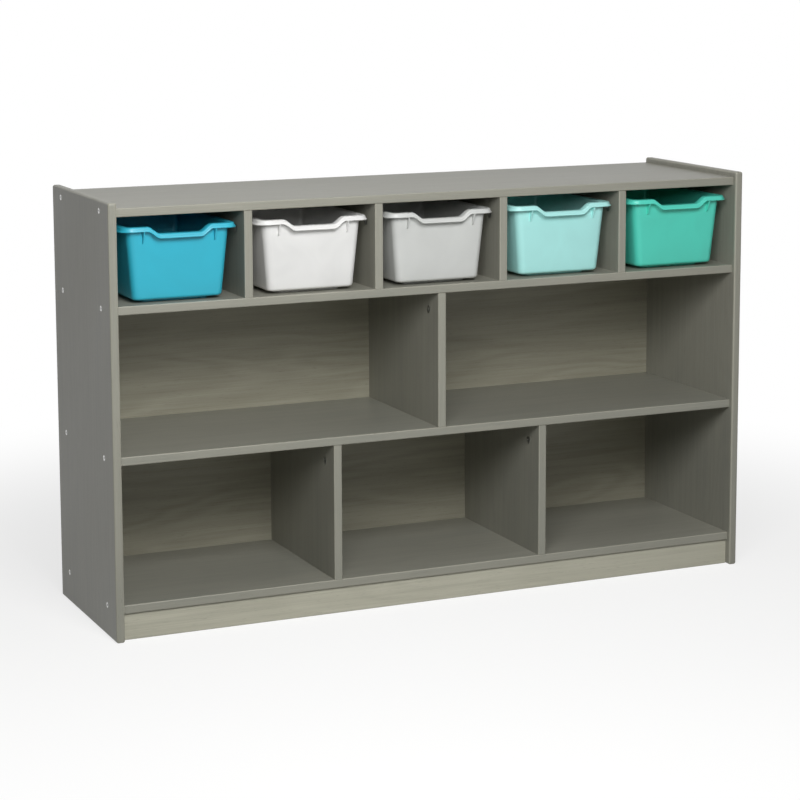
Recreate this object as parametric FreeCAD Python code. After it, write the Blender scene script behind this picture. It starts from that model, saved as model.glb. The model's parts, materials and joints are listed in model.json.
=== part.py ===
import FreeCAD, Part
import math
import os

# Toy storage organizer: a free-standing cabinet of plywood boards with a row of pull-out bins.
#
# Millimetres. X runs to the right as seen from the front, Y to the back, Z up.
# The origin is on the floor, at the centre of the side panels' footprint.

# ---- cabinet -----------------------------------------------------------------------------
WIDTH = 1219.0              # over the two side panels
DEPTH = 333.0               # side panels, front to back
BOARD = 15.0                # thickness of every board but the back panel
HEIGHT = 746.0              # side panels, from the floor
TOE_HEIGHT = 47.0           # floor to the underside of the bottom shelf
BIN_ROW_CLEAR = 149.0       # clear height of the bin cubbies
SIDE_RISE = 10.0            # side panels stand this much above the top board
SHELF_RECESS = 10.0         # front edges of the shelves, behind those of the side panels
TOE_RECESS = 5.0            # toe board, behind the front edges of the shelves
BIN_COLUMNS = 5
MIDDLE_COLUMNS = 2
LOWER_COLUMNS = 3
SIDE_ROUND = 4.0            # rounding of the side panels' edges
EDGE_ROUND = 2.0            # rounding of the other boards' front edges
LEAST_FLAT = 1.0            # flat left between the two roundings of an edge

# ---- back panel, held in grooves ---------------------------------------------------------
BACK_THICKNESS = 5.0
BACK_INSET = 8.0            # groove, in front of the boards' rear edges
GROOVE_DEPTH = 5.0
GROOVE_GAP = 0.1            # clearance on each side of the panel in its groove

# ---- fixings -----------------------------------------------------------------------------
FIXING_INSET = 52.5         # rows of fixings, from the side panels' front and rear edges
FIT = 0.05                  # radial clearance of every fixing in its hole
END_GAP = 1.0               # a hole is this much deeper than what goes into it

SCREW_HEAD_RADIUS = 5.0     # side screws, countersunk flush
SCREW_HEAD_HEIGHT = 3.0
SCREW_HEAD_RIM = 1.0        # straight part of the head, above its cone
SCREW_SHOULDER_RADIUS = 3.5
SCREW_THREAD_RADIUS = 2.6
SCREW_LENGTH = 50.0
SCREW_SOCKET = 4.0          # hexagon, across its flats
SCREW_SOCKET_DEPTH = 2.5

CAM_RADIUS = 7.5            # cam locks, flush with the left face of each divider
CAM_FROM_TOP = 34.0         # cam centre, below the divider's top edge
CAM_PAST_BOLT = 4.5         # the cam reaches this far past the bolt's axis
CAM_CHAMFER = 0.4
CAM_SLOT_LENGTH = 9.0
CAM_SLOT_WIDTH = 2.0
CAM_SLOT_DEPTH = 1.6

BOLT_THREAD_RADIUS = 3.0    # cam bolts, screwed up into the board above
BOLT_THREAD_LENGTH = 10.0
BOLT_SHANK_RADIUS = 3.6
BOLT_NECK_RADIUS = 1.8
BOLT_NECK_LENGTH = 3.0
BOLT_HEAD_RADIUS = 3.2
BOLT_HEAD_LENGTH = 3.0

DOWEL_RADIUS = 4.0          # wooden dowels
DOWEL_LENGTH = 30.0
DOWEL_IN_FACE = 9.0         # part of a dowel that sits in a board's face
DOWEL_CHAMFER = 1.0
TOE_DOWEL_SPREAD = 20.0     # between the two dowels in each end of the toe board

# ---- bins --------------------------------------------------------------------------------
BIN_NAMES = ["bin_turquoise", "bin_white", "bin_grey", "bin_aqua", "bin_green"]
BIN_LENGTH = 289.0          # over the rim, front to back
BIN_WIDTH = 208.0           # over the rim, side to side
BIN_HEIGHT = 130.0
BIN_WALL = 2.5
BIN_CORNER = 13.0           # vertical corners of the tub
BIN_FOOT_HEIGHT = 5.0       # the middle of the underside reaches this far below its edge
BIN_FOOT_INSET = 20.0       # the foot stands back this much from the tub's lower edge
BIN_FOOT_CORNER = 10.0      # corner radius of the foot
BIN_FLOOR_ROUND = 6.0       # lower edge of the tub's walls
BIN_SIDE_TAPER = 12.0       # each side leans in by this, rim to floor
BIN_END_TAPER = 7.0         # each end leans in by this
RIM_OVERHANG = 13.0         # rim's lower edge, beyond the top of the tub
RIM_FLARE = 4.0             # rim's lower edge, beyond its upper edge
RIM_HEIGHT = 7.5
RIM_CORNER = 22.0
SCOOP_DROP = 12.0           # dip in the front of the rim
SCOOP_FLOOR = 76.0          # width of the level part of the dip
SCOOP_SHOULDER = 17.0       # run of each sloping shoulder
SCOOP_ROUND = 9.0
RIB_SPACING = 126.0         # two ribs under the front of the rim
RIB_THICKNESS = 2.0
RIB_DROP = 19.0             # below the rim
RIB_TOE = 2.0               # what a rib still stands out at its lower end
BIN_SEAT_GAP = 0.3          # running clearance under a bin
BIN_FRONT = 5.0             # rim, behind the side panels' front edges

os.makedirs("parts", exist_ok=True)

# ---- places worked out from the sizes ----------------------------------------------------
INNER_HALF = WIDTH / 2 - BOARD
SIDE_FRONT = -DEPTH / 2
SIDE_BACK = DEPTH / 2
SHELF_FRONT = SIDE_FRONT + SHELF_RECESS
GROOVE_FRONT = SIDE_BACK - BACK_INSET - BACK_THICKNESS - 2 * GROOVE_GAP
TOP_TOP = HEIGHT - SIDE_RISE
TOP_UNDERSIDE = TOP_TOP - BOARD
UPPER_TOP = TOP_UNDERSIDE - BIN_ROW_CLEAR
BOTTOM_TOP = TOE_HEIGHT + BOARD
MIDDLE_TOP = (BOTTOM_TOP + UPPER_TOP) / 2   # the middle and lower cubbies are equally high
TOE_MIDDLE_Y = SHELF_FRONT + TOE_RECESS + BOARD / 2
FIXING_ROWS = [SIDE_FRONT + FIXING_INSET, SIDE_BACK - FIXING_INSET]
SHELF_TOPS = [BOTTOM_TOP, MIDDLE_TOP, UPPER_TOP, TOP_TOP]

X_AXIS = FreeCAD.Vector(1, 0, 0)
Z_AXIS = FreeCAD.Vector(0, 0, 1)
TOUCHING = 0.001            # two levels nearer than this are the same


def divider_places(columns):
    """X of the middle of each divider that splits a row into equal cubbies."""
    pitch = (WIDTH - BOARD) / columns
    return [(i + 1 - columns / 2) * pitch for i in range(columns - 1)]


def cubby_places(columns):
    """X of the middle of each cubby in a row."""
    pitch = (WIDTH - BOARD) / columns
    return [(i + 0.5 - columns / 2) * pitch for i in range(columns)]


def block(x0, x1, y0, y1, z0, z1):
    """A box between two opposite corners."""
    return Part.makeBox(x1 - x0, y1 - y0, z1 - z0, FreeCAD.Vector(x0, y0, z0))


def rounded_front(board, radius):
    """Round the two long edges at the front of a board."""
    box = board.BoundBox
    thickness = min(box.XLength, box.ZLength)
    length = max(box.XLength, box.ZLength)
    radius = min(radius, (thickness - LEAST_FLAT) / 2)
    edges = []
    for edge in board.Edges:
        at_front = abs(edge.CenterOfMass.y - box.YMin) < TOUCHING
        if at_front and edge.Length > length - TOUCHING:
            edges.append(edge)
    return board.makeFillet(radius, edges)


def turned(profile, grow=0.0):
    """A solid of revolution about Z from (height, radius) pairs, or the hole for it."""
    low = profile[0][0] - (END_GAP if grow else 0.0)
    high = profile[-1][0]
    points = [FreeCAD.Vector(0, 0, low)]
    for index, (height, radius) in enumerate(profile):
        level = low if index == 0 else height
        points.append(FreeCAD.Vector(radius + grow, 0, level))
    points.append(FreeCAD.Vector(0, 0, high))
    points.append(points[0])
    face = Part.Face(Part.makePolygon(points))
    return face.revolve(FreeCAD.Vector(0, 0, 0), Z_AXIS, 360)


def aimed(solid, direction, place):
    """Turn a solid made along Z to point along a direction, and set it down at a place."""
    result = solid.copy()
    turn = FreeCAD.Rotation(Z_AXIS, FreeCAD.Vector(*direction))
    result.Placement = FreeCAD.Placement(FreeCAD.Vector(*place), turn)
    return result


def hexagon(across_flats, depth):
    """A hexagonal prism that stands on Z = 0 and reaches down."""
    radius = across_flats / math.sqrt(3)
    corners = []
    for i in range(7):
        angle = math.radians(60 * i)
        corners.append(FreeCAD.Vector(radius * math.cos(angle), radius * math.sin(angle), 0))
    return Part.Face(Part.makePolygon(corners)).extrude(FreeCAD.Vector(0, 0, -depth))


# ---- fixings, each made along Z with its joint at Z = 0 ----------------------------------
# A side screw's head is at Z = 0 and it reaches down; its thread holds in the shelf's end.
SCREW_PROFILE = [
    (-SCREW_LENGTH, SCREW_THREAD_RADIUS),
    (-BOARD, SCREW_THREAD_RADIUS),
    (-BOARD, SCREW_SHOULDER_RADIUS),
    (-SCREW_HEAD_HEIGHT, SCREW_SHOULDER_RADIUS),
    (-SCREW_HEAD_RIM, SCREW_HEAD_RADIUS),
    (0.0, SCREW_HEAD_RADIUS),
]
# A cam bolt's thread is above Z = 0 and its head is at the middle of the cam.
BOLT_PROFILE = [
    (-CAM_FROM_TOP - BOLT_HEAD_LENGTH / 2, BOLT_HEAD_RADIUS),
    (-CAM_FROM_TOP + BOLT_HEAD_LENGTH / 2, BOLT_HEAD_RADIUS),
    (-CAM_FROM_TOP + BOLT_HEAD_LENGTH / 2, BOLT_NECK_RADIUS),
    (-CAM_FROM_TOP + BOLT_HEAD_LENGTH / 2 + BOLT_NECK_LENGTH, BOLT_NECK_RADIUS),
    (-CAM_FROM_TOP + BOLT_HEAD_LENGTH / 2 + BOLT_NECK_LENGTH, BOLT_SHANK_RADIUS),
    (0.0, BOLT_SHANK_RADIUS),
    (0.0, BOLT_THREAD_RADIUS),
    (BOLT_THREAD_LENGTH, BOLT_THREAD_RADIUS),
]
# A dowel has DOWEL_IN_FACE above Z = 0 and the rest below.
DOWEL_LOW = DOWEL_IN_FACE - DOWEL_LENGTH
DOWEL_PROFILE = [
    (DOWEL_LOW, DOWEL_RADIUS - DOWEL_CHAMFER),
    (DOWEL_LOW + DOWEL_CHAMFER, DOWEL_RADIUS),
    (DOWEL_IN_FACE - DOWEL_CHAMFER, DOWEL_RADIUS),
    (DOWEL_IN_FACE, DOWEL_RADIUS - DOWEL_CHAMFER),
]
CAM_HEIGHT = BOARD / 2 + CAM_PAST_BOLT


def side_screw():
    """A countersunk screw with a hexagon socket."""
    return turned(SCREW_PROFILE).cut(hexagon(SCREW_SOCKET, SCREW_SOCKET_DEPTH))


def screw_hole():
    """What a side screw clears in the side panel and the shelf."""
    return turned(SCREW_PROFILE, FIT)


def dowel_hole():
    """A plain hole, deeper than the dowel at both ends."""
    length = DOWEL_LENGTH + 2 * END_GAP
    return Part.makeCylinder(DOWEL_RADIUS + FIT, length, FreeCAD.Vector(0, 0, DOWEL_LOW - END_GAP))


def cam_lock():
    """A cam disc with its top at Z = 0, a cross slot, and a mouth for the bolt towards +X."""
    disc = Part.makeCylinder(CAM_RADIUS, CAM_HEIGHT, FreeCAD.Vector(0, 0, -CAM_HEIGHT))
    disc = disc.makeChamfer(CAM_CHAMFER, [disc.Edges[0]])
    mouth_start = FreeCAD.Vector(-BOLT_HEAD_LENGTH, 0, -BOARD / 2)
    mouth = Part.makeCylinder(BOLT_SHANK_RADIUS + FIT, 2 * CAM_RADIUS, mouth_start, X_AXIS)
    disc = disc.cut(mouth)
    half_length = CAM_SLOT_LENGTH / 2
    half_width = CAM_SLOT_WIDTH / 2
    disc = disc.cut(block(-half_length, half_length, -half_width, half_width, -CAM_SLOT_DEPTH, 0))
    return disc.cut(block(-half_width, half_width, -half_length, half_length, -CAM_SLOT_DEPTH, 0))


def cam_pocket():
    """The blind hole that a cam lock sits in."""
    return Part.makeCylinder(CAM_RADIUS + FIT, CAM_HEIGHT, FreeCAD.Vector(0, 0, -CAM_HEIGHT))


def bolt_bore():
    """The bore for a cam bolt's shank, down from the divider's top edge to its cam."""
    radius = BOLT_SHANK_RADIUS + FIT
    return Part.makeCylinder(radius, CAM_FROM_TOP, FreeCAD.Vector(0, 0, -CAM_FROM_TOP))


def bolt_pilot():
    """The hole for a cam bolt's thread, in the board above."""
    radius = BOLT_THREAD_RADIUS + FIT
    return Part.makeCylinder(radius, BOLT_THREAD_LENGTH + END_GAP)


# ---- boards ------------------------------------------------------------------------------
def side_panel(side):
    """A side panel, with a groove for the back panel. side is -1 for left, 1 for right."""
    outer = side * WIDTH / 2
    inner = side * INNER_HALF
    panel = block(min(outer, inner), max(outer, inner), SIDE_FRONT, SIDE_BACK, 0, HEIGHT)
    panel = panel.makeFillet(min(SIDE_ROUND, (BOARD - LEAST_FLAT) / 2), panel.Edges)
    return panel.cut(back_groove())


def back_groove():
    """The space that the back panel and its clearance take in the boards round it."""
    reach = INNER_HALF + GROOVE_DEPTH
    low = BOTTOM_TOP - GROOVE_DEPTH
    high = TOP_UNDERSIDE + GROOVE_DEPTH
    return block(-reach, reach, GROOVE_FRONT, SIDE_BACK - BACK_INSET, low, high)


def back_panel():
    """The thin panel that fills the back, a little smaller than its grooves."""
    reach = INNER_HALF + GROOVE_DEPTH - GROOVE_GAP
    low = BOTTOM_TOP - GROOVE_DEPTH
    high = TOP_UNDERSIDE + GROOVE_DEPTH - GROOVE_GAP
    front = GROOVE_FRONT + GROOVE_GAP
    return block(-reach, reach, front, front + BACK_THICKNESS, low, high)


def shelf(top, back):
    """A board between the side panels, with its front edges rounded."""
    board = block(-INNER_HALF, INNER_HALF, SHELF_FRONT, back, top - BOARD, top)
    return rounded_front(board, EDGE_ROUND)


def divider(x, low, high):
    """An upright between two shelves, from their front edges to the back panel."""
    board = block(x - BOARD / 2, x + BOARD / 2, SHELF_FRONT, GROOVE_FRONT, low, high)
    return rounded_front(board, EDGE_ROUND)


def toe_board():
    """The upright board under the bottom shelf."""
    front = TOE_MIDDLE_Y - BOARD / 2
    board = block(-INNER_HALF, INNER_HALF, front, front + BOARD, 0, TOE_HEIGHT)
    return rounded_front(board, EDGE_ROUND)


# ---- bins --------------------------------------------------------------------------------
def rounded_outline(half_x, y0, y1, radius):
    """A closed wire round a rectangle with rounded corners, at Z = 0."""
    centre_x = half_x - radius
    low_y = y0 + radius
    high_y = y1 - radius
    centres = [(centre_x, high_y), (-centre_x, high_y), (-centre_x, low_y), (centre_x, low_y)]
    edges = []
    last = FreeCAD.Vector(half_x, low_y, 0)
    for quarter, (x, y) in enumerate(centres):
        arc_points = []
        for eighth in range(3):
            turn = math.pi / 4 * (2 * quarter + eighth)
            arc_points.append(FreeCAD.Vector(x + radius * math.cos(turn), y + radius * math.sin(turn), 0))
        edges.append(Part.LineSegment(last, arc_points[0]).toShape())
        edges.append(Part.Arc(*arc_points).toShape())
        last = arc_points[2]
    return Part.Wire(edges)


def tub_solid(inset, top):
    """The tapered tub on its foot, moved in by an inset all round, up to a top level."""
    front = RIM_OVERHANG
    underside_level = BIN_FOOT_HEIGHT + inset
    half = BIN_WIDTH / 2 - RIM_OVERHANG

    def section(level):
        drop = (BIN_HEIGHT - level) / BIN_HEIGHT
        half_x = half - BIN_SIDE_TAPER * drop - inset
        y0 = front + BIN_END_TAPER * drop + inset
        return half_x, y0, BIN_LENGTH - y0

    low_x, low_y0, low_y1 = section(underside_level)
    top_x, top_y0, top_y1 = section(top)
    low = underside_level
    wedge = Part.makeWedge(-low_x, low, low_y0, top_y0, -top_x, low_x, top, low_y1, top_y1, top_x)
    upright = FreeCAD.Rotation(X_AXIS, 90)
    wedge.Placement = FreeCAD.Placement(FreeCAD.Vector(0, BIN_LENGTH, 0), upright)
    corners = [edge for edge in wedge.Edges if edge.BoundBox.ZLength > 1.0]
    tub = wedge.makeFillet(BIN_CORNER - inset, corners)
    underside = [edge for edge in tub.Edges if abs(edge.BoundBox.ZMax - underside_level) < TOUCHING]
    tub = tub.makeFillet(BIN_FLOOR_ROUND - inset, underside)

    # the foot is carried up a little into the tub, so that the two join along the tub's underside
    foot_x = low_x - BIN_FOOT_INSET
    foot_y0 = low_y0 + BIN_FOOT_INSET
    outline = rounded_outline(foot_x, foot_y0, BIN_LENGTH - foot_y0, BIN_FOOT_CORNER - inset)
    foot = Part.Face(outline).extrude(FreeCAD.Vector(0, 0, BIN_FOOT_HEIGHT + BIN_WALL))
    foot.translate(FreeCAD.Vector(0, 0, inset))
    return tub.fuse(foot).removeSplitter()


def under_rim(drop, reach_y):
    """Everything below the rim's upper face, lowered by drop; the front half has the scoop."""
    high = BIN_HEIGHT - drop
    low = -BIN_HEIGHT
    side = BIN_WIDTH
    floor_half = SCOOP_FLOOR / 2
    points = [
        (-side, low),
        (side, low),
        (side, high),
        (floor_half + SCOOP_SHOULDER, high),
        (floor_half, high - SCOOP_DROP),
        (-floor_half, high - SCOOP_DROP),
        (-floor_half - SCOOP_SHOULDER, high),
        (-side, high),
        (-side, low),
    ]
    face = Part.Face(Part.makePolygon([FreeCAD.Vector(x, -reach_y, z) for x, z in points]))
    front = face.extrude(FreeCAD.Vector(0, reach_y + BIN_LENGTH / 2, 0))
    bends = []
    for edge in front.Edges:
        middle = edge.CenterOfMass
        if abs(middle.x) < side - 1.0 and edge.BoundBox.YLength > 1.0:
            bends.append(edge)
    front = front.makeFillet(SCOOP_ROUND, bends)
    back = block(-side, side, BIN_LENGTH / 2, BIN_LENGTH + reach_y, low, high)
    return front.fuse(back).removeSplitter()


def rim_skirt(inset):
    """The flared volume inside the rim's outer face, moved in by an inset.

    The sides flare over the rim's height, and the ends over the deeper height of the scoop.
    """
    low = BIN_HEIGHT - RIM_HEIGHT - SCOOP_DROP
    below_sides = RIM_FLARE * SCOOP_DROP / RIM_HEIGHT
    half_low = BIN_WIDTH / 2 + below_sides - inset
    half_high = BIN_WIDTH / 2 - RIM_FLARE - inset
    end_high = RIM_FLARE + inset
    wire_low = rounded_outline(half_low, inset, BIN_LENGTH - inset, RIM_CORNER - inset)
    wire_high = rounded_outline(half_high, end_high, BIN_LENGTH - end_high, RIM_CORNER - RIM_FLARE - inset)
    wire_low.translate(FreeCAD.Vector(0, 0, low))
    wire_high.translate(FreeCAD.Vector(0, 0, BIN_HEIGHT))
    return Part.makeLoft([wire_low, wire_high], True, True)


def rib(x):
    """One upright rib between the tub's front wall and the rim."""
    high = BIN_HEIGHT - BIN_WALL
    low = BIN_HEIGHT - RIM_HEIGHT - RIB_DROP
    front = RIM_FLARE + BIN_WALL
    wall = RIM_OVERHANG + BIN_END_TAPER * (BIN_HEIGHT - low) / BIN_HEIGHT
    corners = [
        (front, high),
        (front, BIN_HEIGHT - RIM_HEIGHT),
        (wall - RIB_TOE, low),
        (wall + BIN_WALL / 2, low - RIB_TOE),
        (RIM_OVERHANG + BIN_WALL / 2, high),
        (front, high),
    ]
    left = x - RIB_THICKNESS / 2
    face = Part.Face(Part.makePolygon([FreeCAD.Vector(left, y, z) for y, z in corners]))
    return face.extrude(FreeCAD.Vector(RIB_THICKNESS, 0, 0))


def bin_tub():
    """One bin with its rim's front at Y = 0 and its underside at Z = 0."""
    reach = RIM_OVERHANG
    cavity = tub_solid(BIN_WALL, BIN_HEIGHT + BIN_WALL)
    shell = tub_solid(0.0, BIN_HEIGHT + BIN_WALL)
    skirt_hollow = rim_skirt(BIN_WALL).common(under_rim(BIN_WALL, reach))
    rim = rim_skirt(0.0).common(under_rim(0.0, reach)).cut(skirt_hollow)
    lip_bottom = under_rim(RIM_HEIGHT, reach)
    rim = rim.cut(lip_bottom)
    body = shell.common(under_rim(0.0, reach)).fuse(rim)
    for side in (-1, 1):
        body = body.fuse(rib(side * RIB_SPACING / 2))
    return body.cut(cavity).removeSplitter()


# ---- assembly ----------------------------------------------------------------------------
def main():
    top_board = shelf(TOP_TOP, SIDE_BACK).cut(back_groove())
    bottom_board = shelf(BOTTOM_TOP, SIDE_BACK).cut(back_groove())
    boards = {
        "left_side_panel": side_panel(-1),
        "right_side_panel": side_panel(1),
        "bottom_shelf": bottom_board,
        "middle_shelf": shelf(MIDDLE_TOP, GROOVE_FRONT),
        "upper_shelf": shelf(UPPER_TOP, GROOVE_FRONT),
        "top_board": top_board,
        "toe_board": toe_board(),
        "back_panel": back_panel(),
    }

    # uprights: name, X, board below, board above, and the levels between
    uprights = []
    for index, x in enumerate(divider_places(BIN_COLUMNS)):
        name = "bin_divider_" + str(index + 1)
        uprights.append((name, x, "upper_shelf", "top_board", UPPER_TOP, TOP_UNDERSIDE))
    for index, x in enumerate(divider_places(MIDDLE_COLUMNS)):
        name = "middle_divider" if MIDDLE_COLUMNS == 2 else "middle_divider_" + str(index + 1)
        uprights.append((name, x, "middle_shelf", "upper_shelf", MIDDLE_TOP, UPPER_TOP - BOARD))
    for index, x in enumerate(divider_places(LOWER_COLUMNS)):
        name = "lower_divider_" + str(index + 1)
        uprights.append((name, x, "bottom_shelf", "middle_shelf", BOTTOM_TOP, MIDDLE_TOP - BOARD))

    cam_locks = []
    cam_bolts = []
    divider_dowels = []
    for name, x, below, above, low, high in uprights:
        board = divider(x, low, high)
        for y in FIXING_ROWS:
            cam_place = (x - BOARD / 2, y, high - CAM_FROM_TOP)
            joint_above = (x, y, high)
            joint_below = (x, y, low)
            board = board.cut(aimed(cam_pocket(), (-1, 0, 0), cam_place))
            board = board.cut(aimed(bolt_bore(), (0, 0, 1), joint_above))
            board = board.cut(aimed(dowel_hole(), (0, 0, -1), joint_below))
            boards[above] = boards[above].cut(aimed(bolt_pilot(), (0, 0, 1), joint_above))
            boards[below] = boards[below].cut(aimed(dowel_hole(), (0, 0, -1), joint_below))
            cam_locks.append(aimed(cam_lock(), (-1, 0, 0), cam_place))
            cam_bolts.append(aimed(turned(BOLT_PROFILE), (0, 0, 1), joint_above))
            divider_dowels.append(aimed(turned(DOWEL_PROFILE), (0, 0, -1), joint_below))
        boards[name] = board

    # screws through the side panels into the ends of the shelves
    side_names = {-1: "left_side_panel", 1: "right_side_panel"}
    shelf_names = ["bottom_shelf", "middle_shelf", "upper_shelf", "top_board"]
    side_screws = {-1: [], 1: []}
    for side in (-1, 1):
        for shelf_name, top in zip(shelf_names, SHELF_TOPS):
            for y in FIXING_ROWS:
                head = (side * WIDTH / 2, y, top - BOARD / 2)
                hole = aimed(screw_hole(), (side, 0, 0), head)
                boards[side_names[side]] = boards[side_names[side]].cut(hole)
                boards[shelf_name] = boards[shelf_name].cut(hole)
                side_screws[side].append(aimed(side_screw(), (side, 0, 0), head))

    # dowels in the ends and along the top of the toe board
    toe_dowels = []
    for side in (-1, 1):
        for step in (-1, 1):
            place = (side * INNER_HALF, TOE_MIDDLE_Y, TOE_HEIGHT / 2 + step * TOE_DOWEL_SPREAD / 2)
            toe_dowels.append(aimed(turned(DOWEL_PROFILE), (side, 0, 0), place))
            hole = aimed(dowel_hole(), (side, 0, 0), place)
            boards[side_names[side]] = boards[side_names[side]].cut(hole)
            boards["toe_board"] = boards["toe_board"].cut(hole)
    for x in cubby_places(LOWER_COLUMNS):
        place = (x, TOE_MIDDLE_Y, TOE_HEIGHT)
        toe_dowels.append(aimed(turned(DOWEL_PROFILE), (0, 0, 1), place))
        hole = aimed(dowel_hole(), (0, 0, 1), place)
        boards["bottom_shelf"] = boards["bottom_shelf"].cut(hole)
        boards["toe_board"] = boards["toe_board"].cut(hole)

    pieces = dict(boards)
    pieces["left_side_screws"] = Part.makeCompound(side_screws[-1])
    pieces["right_side_screws"] = Part.makeCompound(side_screws[1])
    pieces["cam_locks"] = Part.makeCompound(cam_locks)
    pieces["cam_bolts"] = Part.makeCompound(cam_bolts)
    pieces["divider_dowels"] = Part.makeCompound(divider_dowels)
    pieces["toe_board_dowels"] = Part.makeCompound(toe_dowels)

    tub = bin_tub()
    for name, x in zip(BIN_NAMES, cubby_places(BIN_COLUMNS)):
        place = FreeCAD.Vector(x, SIDE_FRONT + BIN_FRONT, UPPER_TOP + BIN_SEAT_GAP)
        pieces[name] = tub.copy()
        pieces[name].translate(place)

    for name, piece in pieces.items():
        piece.exportStep("parts/" + name + ".step")
        solids = len(piece.Solids)
        print(name, "solids", solids, "valid", piece.isValid(), "volume", round(piece.Volume))


main()
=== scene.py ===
import json
import math

import bmesh
import bpy
from bpy.props import FloatProperty, FloatVectorProperty, PointerProperty
from mathutils import Matrix, Vector


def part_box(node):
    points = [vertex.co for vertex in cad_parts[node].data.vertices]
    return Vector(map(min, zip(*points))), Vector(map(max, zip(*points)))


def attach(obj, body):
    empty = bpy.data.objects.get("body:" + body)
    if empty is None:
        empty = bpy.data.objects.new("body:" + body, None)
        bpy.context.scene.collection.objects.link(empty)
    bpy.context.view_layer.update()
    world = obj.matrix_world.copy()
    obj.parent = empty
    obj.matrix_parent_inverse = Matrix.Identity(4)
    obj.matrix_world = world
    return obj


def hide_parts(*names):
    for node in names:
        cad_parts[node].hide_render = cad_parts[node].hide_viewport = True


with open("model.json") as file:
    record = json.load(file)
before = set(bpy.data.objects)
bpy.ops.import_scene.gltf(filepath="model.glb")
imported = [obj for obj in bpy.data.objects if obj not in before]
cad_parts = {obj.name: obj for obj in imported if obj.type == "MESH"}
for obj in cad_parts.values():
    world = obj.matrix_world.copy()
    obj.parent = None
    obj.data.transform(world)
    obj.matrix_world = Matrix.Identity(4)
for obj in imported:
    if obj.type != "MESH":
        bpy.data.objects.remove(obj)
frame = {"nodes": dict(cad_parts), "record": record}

bl_info = {
    "name": "Toy Organizer Dresser",
    "version": (1, 0, 0),
    "blender": (4, 5, 0),
    "location": "View3D > Sidebar > Organizer",
    "description": "Dresses the packed toy storage organizer: boards, fixings, bins and studio",
    "category": "Object",
}

MM = 0.001
TOUCHING = 1e-6
# a noise's values seldom leave this range
NOISE_LOW, NOISE_HIGH = 0.3, 0.7
AXIS_X, AXIS_Y, AXIS_Z = range(3)
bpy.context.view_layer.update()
SLOT_OF = {part["node"]: part["material_slot"] for part in frame["record"]["subparts"]}
BINS = ("bin_turquoise", "bin_white", "bin_grey", "bin_aqua", "bin_green")
SCREW_GROUPS = {"left_side_screws": -1, "right_side_screws": 1}


def linear(hex_colour):
    """Turn an sRGB hex colour into Blender's linear red, green and blue."""
    parts = [int(hex_colour[i:i + 2], 16) / 255 for i in (1, 3, 5)]
    return tuple(p / 12.92 if p <= 0.04045 else ((p + 0.055) / 1.055) ** 2.4 for p in parts)


def opaque(tone, share=1.0):
    """A colour with its alpha, made darker or brighter by a share but never past white."""
    return tuple(min(1.0, share * part) for part in tone) + (1.0,)


def length(name, description, millimetres):
    """A length that the sidebar shows in its own unit."""
    return FloatProperty(name=name, description=description, default=millimetres * MM, min=0.0,
                         precision=4, unit="LENGTH")


def colour(name, description, hex_colour):
    """A colour that the sidebar shows as a swatch."""
    return FloatVectorProperty(name=name, description=description, default=linear(hex_colour),
                               size=3, min=0.0, max=1.0, subtype="COLOR")


# ---- what a user would change ------------------------------------------------------------
class OrganizerBoardSettings(bpy.types.PropertyGroup):
    wash: colour("Wash", "Grey wash on the panels, shelves and dividers", "#929186")
    wash_thin: colour("Thin wash", "Where the wash is thin and the birch shows", "#9b9a8f")
    wash_deep: colour("Deep wash", "Where the wash has soaked in", "#86877e")
    # paler edge tone: partly sanding that thins the wash, partly a painted highlight where edges catch the
    # lamps
    edge_wear_and_highlight: colour("Arris", "Rounded and sawn edges, where sanding has thinned the wash most", "#b2b0a0")
    # the toe board's three tones are the board wash painted paler: a painted bounce of light from the pale
    # floor in front of it
    toe_wash_painted_bounce: colour("Toe wash", "Paler wash on the toe board", "#bbb9a8")
    toe_thin_painted_bounce: colour("Toe thin wash", "Where the toe board's birch shows", "#c6c4b3")
    toe_deep_painted_bounce: colour("Toe deep wash", "The toe board's darker figure", "#a9a797")
    back_wash: colour("Back wash", "Paler, warmer wash on the back panel", "#9f9c8b")
    back_thin: colour("Back thin wash", "Where the back panel's birch shows", "#aba897")
    back_deep: colour("Back deep wash", "The back panel's darker figure", "#918e7c")
    ply: length("Ply", "Thickness of one sheet of veneer in the plywood", 1.4)
    fibre: length("Fibre", "Spacing of the fine fibres across the grain", 1.6)
    streak: length("Streak", "Spacing of the broader streaks across the grain", 7.0)
    figure: length("Figure", "Width of the wavy figure of the veneer", 95.0)


class OrganizerFixingSettings(bpy.types.PropertyGroup):
    zinc_plate: colour("Zinc plate", "Bright zinc plate on the screws and cam bolts", "#c9cac8")
    cast_zinc: colour("Cast zinc", "Bare die-cast zinc of the cam locks", "#adaea9")
    beech: colour("Beech", "Plain beech of the dowels", "#cfac7e")
    head_radius: length("Screw head radius", "Radius of a side screw's head", 5.0)
    head_height: length("Screw head height", "Rim and cone of a side screw's head", 3.0)
    shoulder_radius: length("Shoulder radius", "Radius under a side screw's head", 3.5)
    shoulder_depth: length("Shoulder depth", "How far the shoulder reaches into the panel", 15.0)
    thread_radius: length("Thread radius", "Mean radius of a side screw's thread", 2.6)
    screw_length: length("Screw length", "Whole length of a side screw", 50.0)
    socket: length("Socket", "Hexagon socket of a side screw, across its flats", 4.0)
    socket_depth: length("Socket depth", "Depth of the hexagon socket", 2.5)


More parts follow.
